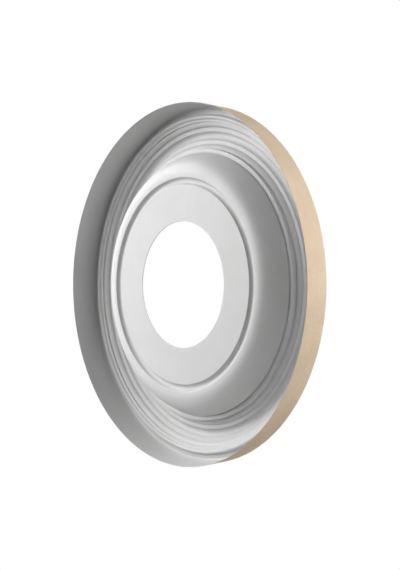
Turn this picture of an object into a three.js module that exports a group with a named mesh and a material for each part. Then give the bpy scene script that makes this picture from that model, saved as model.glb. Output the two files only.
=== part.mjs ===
// Ceiling rose: a round moulding cast in one piece of rigid foam, with a hole through its middle.
// Millimetres. The rose's axis lies along Y: its face looks along -Y and its flat back lies on y = 0.
// A level is a height above that back, towards the face. The origin is the centre of the back.
import * as THREE from 'three';

// The centre: a flat plate round the hole, a round groove, and the crown of the big ovolo.
const holeRadius = 104.5;
const plateWidth = 60.4;
const grooveWidth = 11.9;
const grooveDepth = 4.7;
const crownWidth = 5.2;
const crownStand = 0.4;

// The ovolo, which falls from the crown to a small step, a broad fillet and a riser below that.
// Its fullness says how far each handle of its curve reaches, as shares of its width and drop.
const ovoloWidth = 36.5;
const ovoloDrop = 35.7;
const ovoloFullness = { crownReach: 0.45, footReach: 0.26, footRise: 0.68 };
const innerFilletWidth = 7.5;
const innerFilletStep = 2.1;
const innerFilletFall = 0.3;
const innerRiserDrop = 6.5;

// The valley: a gentle swell below the riser, and a scotia between two narrow lands.
const swellWidth = 8.6;
const swellDrop = 6.8;
const swellBulge = 1.2;
const innerLandWidth = 6.2;
const innerLandFall = 0.5;
const floorLevel = 13;
const scotiaWidth = 14.3;
const scotiaDepth = 5.2;
const outerLandWidth = 7;
const outerLandRise = 0.9;

// The climb to the rim: a quarter round, a fillet, and a bead with a quirk beyond it.
const quarterWidth = 8.2;
const quarterRise = 6.6;
const outerFilletWidth = 3.9;
const outerFilletStep = 3.2;
const outerFilletRise = 0.5;
const beadWidth = 8.7;
const beadRise = 4;
const quirkWidth = 3.8;
const quirkDrop = 6.4;

// The rim: a tall hollow on its inside, which leaves the quirk nearly level, and a plain wall with
// a little draft on its outside. The hollow's fullness is given as shares of its width and rise.
const rimWidth = 13.3;
const rimRise = 46.7;
const rimFullness = { footReach: 0.56, footRise: 0.035, rimReach: 0.14, rimDrop: 0.53 };
const wallDraft = 3.6;

// The back: the wall stops short of it, and a chamfer under the wall leads in to the flat seat.
const wallFootLevel = 24;
const chamferAngle = THREE.MathUtils.degToRad(49);

// The hollow behind the centre, and the bevel that thins the back of the hole's edge.
const plateThickness = 10;
const shellThickness = 12;
const hollowShoulder = 9;
const hollowFullness = { wallRise: 0.55, shoulderReach: 0.65 };
const holeLand = 1.2;
const bevelAngle = THREE.MathUtils.degToRad(54);

// A riser leans by this much, so that the casting leaves its mould.
const riserDraft = 0.4;

// How finely the form and its curves are divided.
const stepsRound = 96;
const grooveSteps = 4;
const ovoloSteps = 7;
const swellSteps = 2;
const scotiaSteps = 5;
const quarterSteps = 3;
const beadSteps = 5;
const rimSteps = 6;
const hollowSteps = 4;

// Radii, added up from the hole outwards.
const plateEdge = holeRadius + plateWidth;
const grooveEdge = plateEdge + grooveWidth;
const crownEdge = grooveEdge + crownWidth;
const ovoloFoot = crownEdge + ovoloWidth;
const innerFilletEdge = ovoloFoot + innerFilletWidth;
const swellEdge = innerFilletEdge + swellWidth;
const innerLandEdge = swellEdge + innerLandWidth;
const scotiaEdge = innerLandEdge + scotiaWidth;
const outerLandEdge = scotiaEdge + outerLandWidth;
const quarterEdge = outerLandEdge + quarterWidth;
const outerFilletEdge = quarterEdge + outerFilletWidth;
const beadEdge = outerFilletEdge + beadWidth;
const quirkEdge = beadEdge + quirkWidth;
const outerRadius = quirkEdge + rimWidth;

// Levels, added up from the valley's floor in to the crown and out to the rim.
const innerLandLevel = floorLevel + innerLandFall;
const swellTopLevel = innerLandLevel + swellDrop;
const innerFilletEdgeLevel = swellTopLevel + innerRiserDrop;
const innerFilletLevel = innerFilletEdgeLevel + innerFilletFall;
const ovoloFootLevel = innerFilletLevel + innerFilletStep;
const crownLevel = ovoloFootLevel + ovoloDrop;
const plateLevel = crownLevel - crownStand;
const quarterFootLevel = floorLevel + outerLandRise;
const quarterTopLevel = quarterFootLevel + quarterRise;
const outerFilletLevel = quarterTopLevel + outerFilletStep;
const beadFootLevel = outerFilletLevel + outerFilletRise;
const quirkLevel = beadFootLevel + beadRise - quirkDrop;
const rimLevel = quirkLevel + rimRise;

// A point of the section: the radius, and the level above the back.
function at(radius, level) {
  return new THREE.Vector2(radius, level);
}

// The points of an arc that sinks below the chord between its ends by depth, both ends included.
function arc(from, to, depth, steps) {
  const half = from.distanceTo(to) / 2;
  const radius = (half * half + depth * depth) / (2 * depth);
  const swing = Math.atan2(half, radius - depth);
  const along = to.clone().sub(from).normalize();
  const down = at(along.y, -along.x);
  const middle = from.clone().add(to).multiplyScalar(0.5);
  const points = [];
  for (let i = 0; i <= steps; i += 1) {
    const turn = swing * ((2 * i) / steps - 1);
    const sunk = radius * Math.cos(turn) - (radius - depth);
    const point = middle.clone().addScaledVector(along, radius * Math.sin(turn));
    points.push(point.addScaledVector(down, sunk));
  }
  return points;
}

// A quarter of an ellipse that rises steeply from its start and runs out level at its end.
function quarterRound(from, to, steps) {
  const points = [];
  for (let i = 0; i <= steps; i += 1) {
    const turn = (i / steps) * (Math.PI / 2);
    const radius = to.x - (to.x - from.x) * Math.cos(turn);
    points.push(at(radius, from.y + (to.y - from.y) * Math.sin(turn)));
  }
  return points;
}

// Half an ellipse standing on the quirk's level, from where it leaves the fillet to the quirk.
function bead(steps) {
  const half = beadWidth / 2;
  const start = Math.asin((quirkDrop - beadRise) / quirkDrop);
  const points = [];
  for (let i = 0; i <= steps; i += 1) {
    const turn = start + (i / steps) * (Math.PI - start);
    const radius = outerFilletEdge + half - half * Math.cos(turn);
    points.push(at(radius, quirkLevel + quirkDrop * Math.sin(turn)));
  }
  return points;
}

// A curve that leaves one point and reaches another in the directions of two handles.
function sweep(from, firstHandle, secondHandle, to, steps) {
  return new THREE.CubicBezierCurve(from, firstHandle, secondHandle, to).getPoints(steps);
}

function ovolo(steps) {
  const { crownReach, footReach, footRise } = ovoloFullness;
  return sweep(
    at(crownEdge, crownLevel),
    at(crownEdge + crownReach * ovoloWidth, crownLevel),
    at(ovoloFoot - footReach * ovoloWidth, ovoloFootLevel + footRise * ovoloDrop),
    at(ovoloFoot, ovoloFootLevel),
    steps,
  );
}

function rimHollow(steps) {
  const { footReach, footRise, rimReach, rimDrop } = rimFullness;
  return sweep(
    at(quirkEdge, quirkLevel),
    at(quirkEdge + footReach * rimWidth, quirkLevel + footRise * rimRise),
    at(outerRadius - rimReach * rimWidth, rimLevel - rimDrop * rimRise),
    at(outerRadius, rimLevel),
    steps,
  );
}

// The face, from the edge of the hole out to the rim.
function facePoints() {
  const swellTop = at(innerFilletEdge + riserDraft, swellTopLevel);
  const swellFoot = at(swellEdge, innerLandLevel);
  const scotiaStart = at(innerLandEdge, floorLevel);
  const scotiaEnd = at(scotiaEdge, floorLevel);
  const quarterFoot = at(outerLandEdge, quarterFootLevel);
  const quarterTop = at(quarterEdge, quarterTopLevel);
  return [
    at(holeRadius, plateLevel),
    ...arc(at(plateEdge, plateLevel), at(grooveEdge, crownLevel), grooveDepth, grooveSteps),
    ...ovolo(ovoloSteps),
    at(ovoloFoot + riserDraft, innerFilletLevel),
    at(innerFilletEdge, innerFilletEdgeLevel),
    ...arc(swellFoot, swellTop, swellBulge, swellSteps).reverse(),
    ...arc(scotiaStart, scotiaEnd, scotiaDepth, scotiaSteps),
    ...quarterRound(quarterFoot, quarterTop, quarterSteps),
    at(quarterEdge + riserDraft, outerFilletLevel),
    ...bead(beadSteps),
    ...rimHollow(rimSteps),
  ];
}

// The hollow behind the centre, from its mouth in the flat back up to the thin ceiling under the plate.
function hollowPoints(ceilingLevel, steps) {
  const { wallRise, shoulderReach } = hollowFullness;
  const mouthRadius = ovoloFoot - shellThickness;
  const ceilingRadius = grooveEdge - hollowShoulder;
  const shoulder = ceilingRadius + shoulderReach * (mouthRadius - ceilingRadius);
  return sweep(
    at(mouthRadius, 0),
    at(mouthRadius, wallRise * ceilingLevel),
    at(shoulder, ceilingLevel),
    at(ceilingRadius, ceilingLevel),
    steps,
  );
}

// The outside and the back, from the wall in to the edge of the hole.
function backPoints() {
  const wallRadius = outerRadius - wallDraft;
  const seatRadius = wallRadius - wallFootLevel * Math.tan(chamferAngle);
  const ceilingLevel = plateLevel - plateThickness;
  const bevelWidth = (plateThickness - holeLand) * Math.tan(bevelAngle);
  return [
    at(wallRadius, wallFootLevel),
    at(seatRadius, 0),
    ...hollowPoints(ceilingLevel, hollowSteps),
    at(holeRadius + bevelWidth, ceilingLevel),
    at(holeRadius, plateLevel - holeLand),
  ];
}

// The closed section is turned round the Y axis, with levels pointing down -Y.
function roseGeometry() {
  const section = [...facePoints(), ...backPoints()];
  section.push(section[0].clone());
  const turned = section.map((point) => new THREE.Vector2(point.x, -point.y));
  return new THREE.LatheGeometry(turned, stepsRound);
}

const primedFoam = new THREE.MeshStandardMaterial({ color: 0xe9e9ea, roughness: 0.55, metalness: 0 });

const rose = new THREE.Mesh(roseGeometry(), primedFoam);
rose.name = 'rose';

const ceilingRose = new THREE.Group();
ceilingRose.add(rose);

export default ceilingRose;
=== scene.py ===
# Ceiling rose, hung upright with its face turned towards the left, as in the photograph.
import math

import bpy
import numpy as np
from mathutils import Matrix, Vector


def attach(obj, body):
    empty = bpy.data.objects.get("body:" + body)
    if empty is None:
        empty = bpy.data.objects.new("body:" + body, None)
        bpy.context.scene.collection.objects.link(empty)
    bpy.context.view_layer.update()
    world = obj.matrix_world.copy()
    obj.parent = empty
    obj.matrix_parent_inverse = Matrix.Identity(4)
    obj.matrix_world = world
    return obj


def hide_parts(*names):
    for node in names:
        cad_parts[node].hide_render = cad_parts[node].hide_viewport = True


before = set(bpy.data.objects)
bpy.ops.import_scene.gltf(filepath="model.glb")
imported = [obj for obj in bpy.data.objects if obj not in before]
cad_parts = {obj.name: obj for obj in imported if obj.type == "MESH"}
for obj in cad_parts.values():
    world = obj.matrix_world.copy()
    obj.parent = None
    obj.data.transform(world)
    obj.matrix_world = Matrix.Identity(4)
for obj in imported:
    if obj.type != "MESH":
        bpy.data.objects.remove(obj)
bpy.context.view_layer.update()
scene = bpy.context.scene
scene.view_settings.view_transform = "Standard"


# Camera
# The photograph was taken level with the rose, 49.6 degrees round from its axis, from 2.67 m away.
# Its focal length is 1602 pixels on a picture 570 pixels high, which is 101.2 mm on a 36 mm sensor.
camera_turn = math.radians(49.56)
camera_distance = 2.67
focal_pixels, picture_height = 1602.3, 570
camera_right, camera_up = -0.0009, -0.0008
# Lamps look at this point on the rose's axis, in the plane of its wall's foot, and so does the camera,
# to within a millimetre or so.
middle = Vector((0, -0.024, 0))
right = Vector((math.cos(camera_turn), math.sin(camera_turn), 0))
forward = Vector((-math.sin(camera_turn), math.cos(camera_turn), 0))
up = Vector((0, 0, 1))
lens = bpy.data.cameras.new("photograph")
lens.sensor_width = 36
lens.lens = lens.sensor_width * focal_pixels / picture_height
camera = bpy.data.objects.new("photograph", lens)
stand = middle - camera_distance * forward + camera_right * right + camera_up * up
camera.matrix_world = Matrix.LocRotScale(stand, Matrix((right, up, -forward)).transposed(), None)
scene.collection.objects.link(camera)
scene.camera = camera


# Rose
# One casting of rigid polyurethane foam, 600 mm across. Its moulded face is primed white, and the
# paint stops at the rim: the outer wall, the hollow back and the bevel of the hole stay bare foam.
# It is fixed with adhesive on the flat ring of its back.
def sunk_arc(start, end, depth, steps=24):
    """An arc of a circle through start and end that sinks below their chord by depth. The circle's
    radius is (half chord squared + depth squared) / (2 depth), and the angle runs evenly along it."""
    start, end = np.array(start), np.array(end)
    half = np.hypot(*(end - start)) / 2
    radius = (half**2 + depth**2) / (2 * depth)
    swing = math.atan2(half, radius - depth)
    turn = np.linspace(-swing, swing, steps)[:, None]
    across = (end - start) / (2 * half)
    down = np.array((across[1], -across[0]))
    sunk = radius * np.cos(turn) - radius + depth
    return (start + end) / 2 + radius * np.sin(turn) * across + sunk * down


def quarter_round(start, end, steps=16):
    """A quarter ellipse that leaves start upwards and reaches end level: the radius follows one minus
    the cosine of the angle, and the level follows its sine."""
    turn = np.linspace(0, math.pi / 2, steps)
    (start_radius, start_level), (end_radius, end_level) = start, end
    return np.stack((end_radius - (end_radius - start_radius) * np.cos(turn),
                     start_level + (end_level - start_level) * np.sin(turn)), 1)


def bead_round(inner, outer, base, height, foot, steps=24):
    """Half an ellipse of this height on the base level, between two radii. It starts at the angle where
    it reaches the level foot: the radius follows one minus the cosine of the angle, the level its sine."""
    half = (outer - inner) / 2
    turn = np.linspace(math.asin((foot - base) / height), math.pi, steps)
    return np.stack((inner + half * (1 - np.cos(turn)), base + height * np.sin(turn)), 1)


def sweep(start, handle, last_handle, end, steps=48):
    """A cubic curve between two points with two handles: each point weighs in by the Bernstein
    polynomials of the share of the way."""
    share = np.linspace(0, 1, steps)[:, None]
    rest = 1 - share
    corners = [np.array(corner) for corner in (start, handle, last_handle, end)]
    weights = (rest**3, 3 * share * rest**2, 3 * share**2 * rest, share**3)
    return sum(weight * corner for weight, corner in zip(weights, corners))


# The section's sizes, in millimetres: each radius is the outer edge of what it is named for, and each
# level is a height over the flat back. First the flat plate round the hole, a groove and the ovolo.
hole, plate, groove, crown, ovolo = 104.5, 164.9, 176.8, 182.0, 218.5
plate_level, crown_level, ovolo_level = 64.5, 64.9, 29.2
groove_depth = 4.7
ovolo_width, ovolo_drop = ovolo - crown, crown_level - ovolo_level
# The handles of the ovolo's curve reach this far, as shares of its width and its drop.
crown_reach, ovolo_foot_reach, ovolo_foot_rise = 0.45, 0.26, 0.68

# The valley: a fillet that falls a little to its riser, a swell, and a scotia between two lands.
inner_fillet, swell, inner_land, scotia, outer_land = 226.0, 234.6, 240.8, 255.1, 262.1
fillet_level, fillet_edge_level, swell_level = 27.1, 26.8, 20.3
inner_land_level, scotia_level, outer_land_level = 13.5, 13.0, 13.9
swell_bulge, scotia_depth = 1.2, 5.2

# Fine quirks at the feet of the ovolo, the riser and the swell, where the photograph shows dark lines.
fine_width, fine_lean = 0.8, 0.1
ovolo_quirk_depth, riser_quirk_depth, swell_quirk_depth = 0.9, 0.7, 0.6

# The climb to the rim: a quarter round, a fillet, a bead, a quirk, and the tall hollow of the rim.
quarter, outer_fillet, bead, quirk, rim = 270.3, 274.2, 282.9, 286.7, 300.0
quarter_level, outer_fillet_level, bead_foot_level = 20.5, 23.7, 24.2
quirk_level, rim_level = 21.8, 68.5
bead_height, riser_draft, rim_edge_width = 6.4, 0.4, 0.4
rim_width, rim_rise = rim - quirk, rim_level - quirk_level
# The handles of the rim's hollow, as shares of its width and its rise: the first dips a little.
rim_foot_reach, rim_foot_dip, rim_top_reach, rim_top_drop = 0.56, 0.08, 0.14, 0.8

# The back: the foot of the wall, a chamfer in to the flat seat, the mouth of the hollow behind the
# centre with the ceiling under the plate, and the bevel that thins the hole's edge.
wall_foot, seat, mouth, ceiling = 296.4, 268.8, 206.5, 167.8
wall_foot_level, ceiling_level = 24.0, 54.5
bevel_width, hole_edge_height = 12.1, 1.2
# The handles of the hollow's curve, as shares of the ceiling's level and of the curve's width.
mouth_rise, ceiling_reach = 0.55, 0.65

outline = np.concatenate((
    [(hole, plate_level - hole_edge_height), (hole, plate_level)],
    sunk_arc((plate, plate_level), (groove, crown_level), groove_depth),
    sweep((crown, crown_level), (crown + crown_reach * ovolo_width, crown_level),
          (ovolo - ovolo_foot_reach * ovolo_width, ovolo_level + ovolo_foot_rise * ovolo_drop),
          (ovolo, ovolo_level)),
    [(ovolo, fillet_level - ovolo_quirk_depth),
     (ovolo + fine_width, fillet_level - ovolo_quirk_depth),
     (ovolo + fine_width + fine_lean, fillet_level),
     (inner_fillet, fillet_edge_level),
     (inner_fillet + riser_draft, swell_level - riser_quirk_depth),
     (inner_fillet + fine_width, swell_level - riser_quirk_depth)],
    sunk_arc((swell - fine_lean, inner_land_level - swell_quirk_depth),
             (inner_fillet + fine_width, swell_level), swell_bulge)[::-1],
    [(swell, inner_land_level)],
    sunk_arc((inner_land, scotia_level), (scotia, scotia_level), scotia_depth),
    quarter_round((outer_land, outer_land_level), (quarter, quarter_level)),
    [(quarter + riser_draft, outer_fillet_level)],
    bead_round(outer_fillet, bead, quirk_level, bead_height, bead_foot_level),
    sweep((quirk, quirk_level),
          (quirk + rim_foot_reach * rim_width, quirk_level - rim_foot_dip * rim_rise),
          (rim - rim_top_reach * rim_width, rim_level - rim_top_drop * rim_rise),
          (rim - rim_edge_width, rim_level)),
    [(rim, rim_level), (wall_foot, wall_foot_level), (seat, 0)],
    sweep((mouth, 0), (mouth, mouth_rise * ceiling_level),
          (ceiling + ceiling_reach * (mouth - ceiling), ceiling_level), (ceiling, ceiling_level)),
    [(hole + bevel_width, ceiling_level), (hole, plate_level - hole_edge_height)],
))


def softened(points, pitch, spread):
    """A closed outline with its edges rounded: it is laid out again at an even pitch, and each point
    becomes the mean of its neighbours, weighted by a bell curve of the given spread along it."""
    gaps = np.hypot(*np.diff(points, axis=0).T)
    points = points[np.r_[True, gaps > 1e-6]]
    travel = np.r_[0, np.cumsum(np.hypot(*np.diff(points, axis=0).T))]
    count = int(travel[-1] / pitch)
    even = np.linspace(0, travel[-1], count, endpoint=False)
    laid = np.stack([np.interp(even, travel, points[:, k]) for k in (0, 1)], 1)
    step = travel[-1] / count
    reach = np.fft.fftfreq(count, 1 / count) * step
    bell = np.exp(-0.5 * (reach / spread) ** 2)
    bell_waves = np.fft.fft(bell / bell.sum())[:, None]
    return np.real(np.fft.ifft(np.fft.fft(laid, axis=0) * bell_waves, axis=0))


def thinned(points, crest, counts, calm):
    """The closed outline on fewer points, close together where it bends: before the crest and after
    it they stand at equal steps of the running total of length plus calm times the angle turned. It
    gives the points and the directions of the outline there."""
    ahead = np.roll(points, -1, 0) - points
    heading = np.unwrap(np.arctan2(ahead[:, 1], ahead[:, 0]))
    bend = np.abs(np.diff(heading, append=heading[-1]))
    cost = np.hypot(*ahead.T) + calm * bend
    total = np.r_[0, np.cumsum(cost)]
    stops = np.r_[np.linspace(0, total[crest], counts[0], endpoint=False),
                  np.linspace(total[crest], total[-1], counts[1], endpoint=False)]
    closed = np.r_[points, points[:1]]
    mean_way = 0.5 * (np.roll(ahead, 1, 0) + ahead)
    mean_way = np.r_[mean_way, mean_way[:1]]
    picked = np.stack([np.interp(stops, total, closed[:, k]) for k in (0, 1)], 1)
    ways = np.stack([np.interp(stops, total, mean_way[:, k]) for k in (0, 1)], 1)
    return picked, ways / np.hypot(*ways.T)[:, None]


# The crest of the rim, where the paint ends, is the point with the greatest radius and level together.
smooth = softened(outline, pitch=0.1, spread=0.28)
crest = int(np.argmax(smooth.sum(1)))
face_spots, back_spots = 180, 56
section, ways = thinned(smooth, crest, (face_spots, back_spots), calm=14.0)
spots = face_spots + back_spots

# The section is turned round the Y axis, with levels pointing down -Y. It runs from the hole over the
# face, the rim and the wall to the back, so its outward side lies to the left of its way.
steps_round = 400
angle = np.linspace(0, 2 * math.pi, steps_round, endpoint=False)[:, None]
radius, level = section[:, 0] / 1000, section[:, 1] / 1000
points = np.stack((radius * np.cos(angle), -level + 0 * angle, radius * np.sin(angle)), -1)
out_radius, out_level = -ways[:, 1], ways[:, 0]
normals = np.stack((out_radius * np.cos(angle), -out_level + 0 * angle, out_radius * np.sin(angle)), -1)
ring = np.arange(steps_round)[:, None]
next_ring = (ring + 1) % steps_round
spot = np.arange(spots)[None, :]
next_spot = (spot + 1) % spots
quads = np.stack((
    ring * spots + spot,
    ring * spots + next_spot,
    next_ring * spots + next_spot,
    next_ring * spots + spot,
), -1).reshape(-1, 4)

mesh = bpy.data.meshes.new("rose_casting")
mesh.from_pydata(points.reshape(-1, 3).tolist(), [], quads.tolist())
mesh.polygons.foreach_set("use_smooth", np.ones(len(quads), bool))
mesh.normals_split_custom_set_from_vertices(normals.reshape(-1, 3).tolist())
casting = bpy.data.objects.new("rose_casting", mesh)
scene.collection.objects.link(casting)


def blank_finish(name, colour, roughness):
    """A new material with one Principled shader of this colour and roughness. It gives the material,
    its node tree and the shader."""
    finish = bpy.data.materials.new(name)
    finish.use_nodes = True
    shader = finish.node_tree.nodes["Principled BSDF"]
    shader.inputs["Base Color"].default_value = (*colour, 1)
    shader.inputs["Roughness"].default_value = roughness
    return finish, finish.node_tree, shader


def own_place(tree):
    """The piece's own coordinates, in metres."""
    return tree.nodes.new("ShaderNodeTexCoord").outputs["Object"]


def grain(tree, scale, detail=3.0, stretch=(1, 1, 1)):
    """Noise over the piece's own coordinates, in cycles a metre, squeezed along an axis by stretch."""
    squeezed = tree.nodes.new("ShaderNodeMapping")
    squeezed.inputs["Scale"].default_value = stretch
    tree.links.new(own_place(tree), squeezed.inputs["Vector"])
    noise = tree.nodes.new("ShaderNodeTexNoise")
    noise.inputs["Scale"].default_value = scale
    noise.inputs["Detail"].default_value = detail
    tree.links.new(squeezed.outputs["Vector"], noise.inputs["Vector"])
    return noise.outputs["Fac"]


def foam_cells(tree, scale):
    """The distance to the nearest of many scattered points, this many to a metre along each axis."""
    cells = tree.nodes.new("ShaderNodeTexVoronoi")
    cells.inputs["Scale"].default_value = scale
    tree.links.new(own_place(tree), cells.inputs["Vector"])
    return cells.outputs["Distance"]


def between(tree, value, low, high, stops=(0.3, 0.7)):
    """The value mapped from the two stops on to low and high, smoothly and held at the ends."""
    ramp = tree.nodes.new("ShaderNodeMapRange")
    ramp.interpolation_type = "SMOOTHSTEP"
    for name, number in zip(("From Min", "From Max", "To Min", "To Max"), (*stops, low, high)):
        ramp.inputs[name].default_value = number
    tree.links.new(value, ramp.inputs["Value"])
    return ramp.outputs["Result"]


def blended(tree, share, first, second):
    """A colour that goes from first to second as share goes from 0 to 1; each is a colour or a socket."""
    mix = tree.nodes.new("ShaderNodeMix")
    mix.data_type = "RGBA"
    tree.links.new(share, mix.inputs["Factor"])
    for socket, colour in ((mix.inputs["A"], first), (mix.inputs["B"], second)):
        if isinstance(colour, tuple):
            socket.default_value = (*colour, 1)
        else:
            tree.links.new(colour, socket)
    return mix.outputs["Result"]


def relief(tree, height, depth, under=None):
    """Bumps as high as depth, in metres, where height is 1, laid over the normal called under."""
    bump = tree.nodes.new("ShaderNodeBump")
    bump.inputs["Distance"].default_value = depth
    tree.links.new(height, bump.inputs["Height"])
    if under is not None:
        tree.links.new(under, bump.inputs["Normal"])
    return bump.outputs["Normal"]


# Primer: sprayed on thin, satin-matt, with a faint orange peel and hardly any change of tone.
primer_white, primer_thin = (0.71, 0.71, 0.713), (0.69, 0.687, 0.682)
sway_depth, peel_depth = 0.00012, 0.00003
primer, tree, shader = blank_finish("white_primer", primer_white, 0.5)
cloud = between(tree, grain(tree, 14, 4), 0, 1, (0.35, 0.7))
tree.links.new(blended(tree, cloud, primer_white, primer_thin), shader.inputs["Base Color"])
tree.links.new(between(tree, grain(tree, 90, 2), 0.44, 0.58), shader.inputs["Roughness"])
sway = relief(tree, grain(tree, 30, 2), sway_depth)
tree.links.new(relief(tree, grain(tree, 700, 3), peel_depth, sway), shader.inputs["Normal"])

# Bare foam: cream and matt, with fine closed cells, a few burst ones, and long faint flow marks.
cream, tan, pit_brown = (0.79, 0.63, 0.46), (0.72, 0.56, 0.395), (0.45, 0.32, 0.20)
cell_depth, burst_depth = 0.00010, 0.00025
bare_foam, tree, shader = blank_finish("bare_foam", cream, 0.85)
cloud = between(tree, grain(tree, 16, 4), 0, 1)
flow = between(tree, grain(tree, 10, 3, (1, 14, 1)), 0, 0.35, (0.4, 0.75))
colour = blended(tree, flow, blended(tree, cloud, cream, tan), tan)
fine_cells, burst_cells = foam_cells(tree, 950), foam_cells(tree, 210)
pit = between(tree, burst_cells, 0.7, 0, (0.06, 0.13))
colour = blended(tree, pit, colour, pit_brown)
# A breath of primer reaches about a millimetre over the rim's edge, which lies at y = -0.0685 m. Its
# own edge is ragged by noise.
spray_edge, spray_end, spray_ragged = -0.0681, -0.0675, 0.0012
ordinates = tree.nodes.new("ShaderNodeSeparateXYZ")
tree.links.new(own_place(tree), ordinates.inputs["Vector"])
ragged = tree.nodes.new("ShaderNodeMath")
ragged.operation = "MULTIPLY_ADD"
ragged.inputs[1].default_value = spray_ragged
tree.links.new(grain(tree, 120, 3), ragged.inputs[0])
tree.links.new(ordinates.outputs["Y"], ragged.inputs[2])
spray = between(tree, ragged.outputs["Value"], 0.5, 0, (spray_edge, spray_end))
tree.links.new(blended(tree, spray, colour, primer_thin), shader.inputs["Base Color"])
tree.links.new(between(tree, grain(tree, 60, 2), 0.78, 0.95), shader.inputs["Roughness"])
skin = relief(tree, fine_cells, cell_depth)
tree.links.new(relief(tree, burst_cells, burst_depth, skin), shader.inputs["Normal"])

mesh.materials.append(primer)
mesh.materials.append(bare_foam)
is_bare = np.tile(np.arange(spots) >= face_spots, steps_round)
mesh.polygons.foreach_set("material_index", is_bare.astype(np.int32))
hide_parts("rose")
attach(casting, "root")


# Floor
# A plain pale disc well below the rose. Towards its edge it turns clear, so that it ends without a
# line against the white room.
floor_radius, floor_height, floor_sides = 1.8, -0.8, 96
fade_start, fade_end = 0.5, 1.75
floor_turn = np.linspace(0, 2 * math.pi, floor_sides, endpoint=False)
floor_edge = np.stack((floor_radius * np.cos(floor_turn), floor_radius * np.sin(floor_turn),
                       np.full(floor_sides, floor_height)), -1)
floor_mesh = bpy.data.meshes.new("floor")
floor_mesh.from_pydata(floor_edge.tolist(), [], [list(range(floor_sides))])
floor = bpy.data.objects.new("floor", floor_mesh)
scene.collection.objects.link(floor)
floor_paint, tree, shader = blank_finish("pale_floor", (0.85, 0.85, 0.84), 0.8)
level_part = tree.nodes.new("ShaderNodeVectorMath")
level_part.operation = "MULTIPLY"
level_part.inputs[1].default_value = (1, 1, 0)
tree.links.new(own_place(tree), level_part.inputs[0])
reach = tree.nodes.new("ShaderNodeVectorMath")
reach.operation = "LENGTH"
tree.links.new(level_part.outputs["Vector"], reach.inputs[0])
clear = tree.nodes.new("ShaderNodeBsdfTransparent")
fade = tree.nodes.new("ShaderNodeMixShader")
tree.links.new(between(tree, reach.outputs["Value"], 0, 1, (fade_start, fade_end)), fade.inputs["Fac"])
tree.links.new(shader.outputs["BSDF"], fade.inputs[1])
tree.links.new(clear.outputs["BSDF"], fade.inputs[2])
tree.links.new(fade.outputs["Shader"], tree.nodes["Material Output"].inputs["Surface"])
floor_mesh.materials.append(floor_paint)


# Light
# A row of soft boxes from the front round to the left lights the face. One of them, and the one that
# lights the foam wall from behind, gives direct light only, which keeps the mouldings' feet dark. The
# room is white to the camera and gives no light of its own.
world = bpy.data.worlds.new("studio")
scene.world = world
world.use_nodes = True
tree = world.node_tree
dark_room = tree.nodes["Background"]
dark_room.inputs["Color"].default_value = (1, 1, 1, 1)
dark_room.inputs["Strength"].default_value = 0
white_room = tree.nodes.new("ShaderNodeBackground")
white_room.inputs["Color"].default_value = (1, 1, 1, 1)
ray = tree.nodes.new("ShaderNodeLightPath")
choose = tree.nodes.new("ShaderNodeMixShader")
tree.links.new(ray.outputs["Is Camera Ray"], choose.inputs["Fac"])
tree.links.new(dark_room.outputs["Background"], choose.inputs[1])
tree.links.new(white_room.outputs["Background"], choose.inputs[2])
tree.links.new(choose.outputs["Shader"], tree.nodes["World Output"].inputs["Surface"])

lamp_distance = 2.5


def soft_box(name, azimuth, elevation, size, power, direct=False):
    """A square light turned to the rose's middle. Azimuth 0 is straight in front of the face, and 90 is
    to the side that the wall shows; its place is the usual turn of a sphere by both angles. The light
    of a direct one isn't carried on by what it hits."""
    turn, rise = math.radians(azimuth), math.radians(elevation)
    direction = Vector((math.sin(turn) * math.cos(rise), -math.cos(turn) * math.cos(rise), math.sin(rise)))
    light = bpy.data.lights.new(name, "AREA")
    light.size = size
    light.energy = power
    if direct:
        light.cycles.max_bounces = 0
    lamp = bpy.data.objects.new(name, light)
    lamp.matrix_world = Matrix.LocRotScale(
        middle + lamp_distance * direction, direction.to_track_quat("Z", "Y"), None)
    scene.collection.objects.link(lamp)


soft_box("key_front", -20, 18, 0.9, 15.5, direct=True)
soft_box("key_left", -45, 20, 0.9, 21.8)
soft_box("key_side", -65, 0, 0.9, 17.2)
soft_box("key_side_high", -65, 20, 0.9, 12.9)
soft_box("edge_high", -80, 40, 0.9, 26.0)
soft_box("fill_high", -30, 40, 0.9, 7.9)
soft_box("wall_low", 80, -8, 0.6, 7.4)
soft_box("wall_side", 110, 20, 0.9, 42.0, direct=True)
soft_box("back_fill", 165, 15, 0.9, 22.0)
